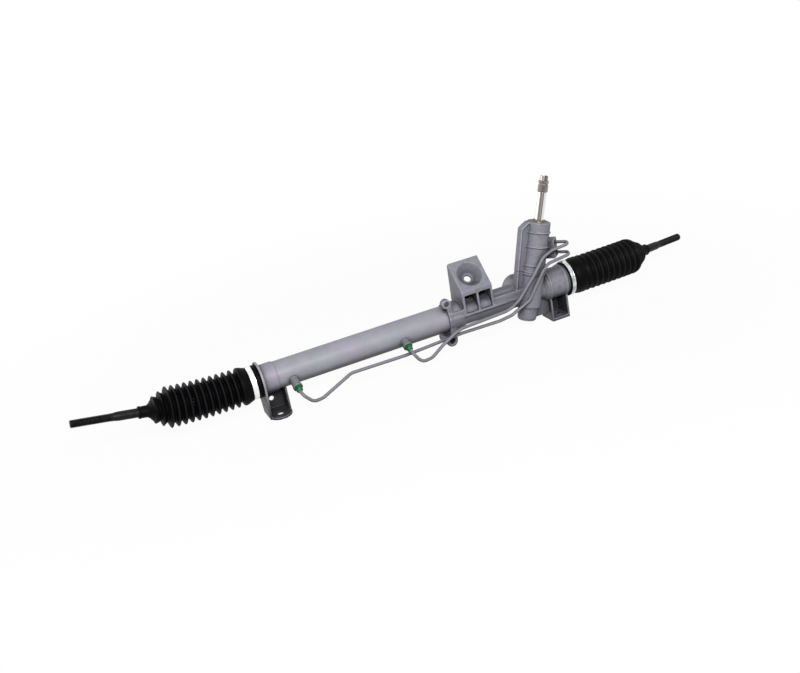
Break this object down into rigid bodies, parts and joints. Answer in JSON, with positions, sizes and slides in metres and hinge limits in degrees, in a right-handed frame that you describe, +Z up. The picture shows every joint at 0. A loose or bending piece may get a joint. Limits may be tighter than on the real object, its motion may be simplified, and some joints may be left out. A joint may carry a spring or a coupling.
{
  "type": "steering rack",
  "caption": "Hydraulic rack and pinion steering gear with bellows boots, inner tie rods, valve tower, splined input shaft and three mounting points.",
  "frame": {"origin": "centre of the right foot's bolt hole, on the face that seats on the subframe", "axes": "+X along the rack towards the pinion end, +Y to the rear, +Z up when the gear is bolted down"},
  "size_m": [1.2568, 0.1396, 0.2861],
  "materials": {
    "housing_paint": "satin",
    "tube_paint": "satin",
    "bracket_paint": "satin",
    "pipe_paint": "satin",
    "black_rod": "matte",
    "bright_steel": "machined",
    "hard_steel": "ground",
    "zinc_band": "zinc plated",
    "green_nut": "gloss",
    "boot_rubber": "matte",
    "seal_rubber": "matte",
    "bearing_bronze": "machined",
    "seat_plastic": "matte",
    "bare_aluminium": "machined"
  },
  "bodies": {
    "housing": {"gear_housing": "housing_paint", "valve_housing": "housing_paint", "cylinder_tube": "tube_paint", "port_boss_left": "tube_paint", "port_boss_right": "tube_paint", "tube_nut_left": "green_nut", "tube_nut_right": "green_nut", "end_cap": "bare_aluminium", "end_seal": "seal_rubber", "inner_bushing": "bare_aluminium", "inner_seal": "seal_rubber", "left_bracket": "bracket_paint", "rack_bushing": "seat_plastic", "pinion_bushing": "bearing_bronze", "upper_bearing": "hard_steel", "input_seal": "bearing_bronze", "lower_bearing_outer": "hard_steel", "bottom_cap": "housing_paint", "yoke": "bare_aluminium", "yoke_spring": "hard_steel", "yoke_plug": "housing_paint", "yoke_locknut": "housing_paint", "boot_left": "boot_rubber", "boot_right": "boot_rubber", "boot_clamp_left": "zinc_band", "boot_clamp_right": "zinc_band", "pipe_left": "pipe_paint", "pipe_right": "pipe_paint"},
    "rack": {"rack_bar": "hard_steel", "piston": "bare_aluminium", "piston_ring": "seat_plastic", "socket_left": "hard_steel", "socket_right": "hard_steel"},
    "pinion": {"pinion": "hard_steel", "valve_sleeve": "hard_steel", "lower_bearing_inner": "hard_steel", "lower_bearing_balls": "hard_steel", "pinion_nut": "hard_steel", "torsion_bar": "hard_steel"},
    "input": {"input_shaft": "bright_steel", "torsion_pin": "hard_steel"},
    "left_yaw": {"seat_rear_left": "seat_plastic"},
    "left_lift": {"seat_front_left": "seat_plastic"},
    "left_rod": {"tie_rod_left": "black_rod"},
    "right_yaw": {"seat_rear_right": "seat_plastic"},
    "right_lift": {"seat_front_right": "seat_plastic"},
    "right_rod": {"tie_rod_right": "black_rod"}
  },
  "joints": [
    {"name": "rack_slide", "type": "slide", "parent": "housing", "child": "rack", "axis": [1, 0, 0], "range_m": [-0.067, 0.08], "deforming": ["boot_left", "boot_right"]},
    {"name": "pinion_spin", "type": "hinge", "parent": "housing", "child": "pinion", "pos_m": [-0.059, -0.01717, 0.07], "axis": [0.2807, 0, 0.9598], "range_deg": [-585, 490]},
    {"name": "input_twist", "type": "hinge", "parent": "pinion", "child": "input", "pos_m": [-0.059, -0.01717, 0.07], "axis": [0.2807, 0, 0.9598], "range_deg": [-5, 5], "stiffness_Nm_per_rad": 55, "deforming": ["torsion_bar"]},
    {"name": "left_turn", "type": "hinge", "parent": "rack", "child": "left_yaw", "pos_m": [-0.72, 0, 0.07], "axis": [0, 0, 1], "range_deg": [-27, 21]},
    {"name": "left_lift", "type": "hinge", "parent": "left_yaw", "child": "left_lift", "pos_m": [-0.72, 0, 0.07], "axis": [0.0523, -0.9986, 0], "range_deg": [-13, 35]},
    {"name": "left_roll", "type": "hinge", "parent": "left_lift", "child": "left_rod", "pos_m": [-0.72, 0, 0.07], "axis": [-0.9803, -0.0514, 0.1908], "continuous": true},
    {"name": "right_turn", "type": "hinge", "parent": "rack", "child": "right_yaw", "pos_m": [0.151, 0, 0.07], "axis": [0, 0, 1], "range_deg": [-44, 4]},
    {"name": "right_lift", "type": "hinge", "parent": "right_yaw", "child": "right_lift", "pos_m": [0.151, 0, 0.07], "axis": [-0.342, 0.9397, 0], "range_deg": [-30.4, 17.6]},
    {"name": "right_roll", "type": "hinge", "parent": "right_lift", "child": "right_rod", "pos_m": [0.151, 0, 0.07], "axis": [0.9338, 0.3399, -0.1115], "continuous": true}
  ],
  "couplings": [
    {"joint": "pinion_spin", "follows": "rack_slide", "rad_per_m": -127.17}
  ]
}
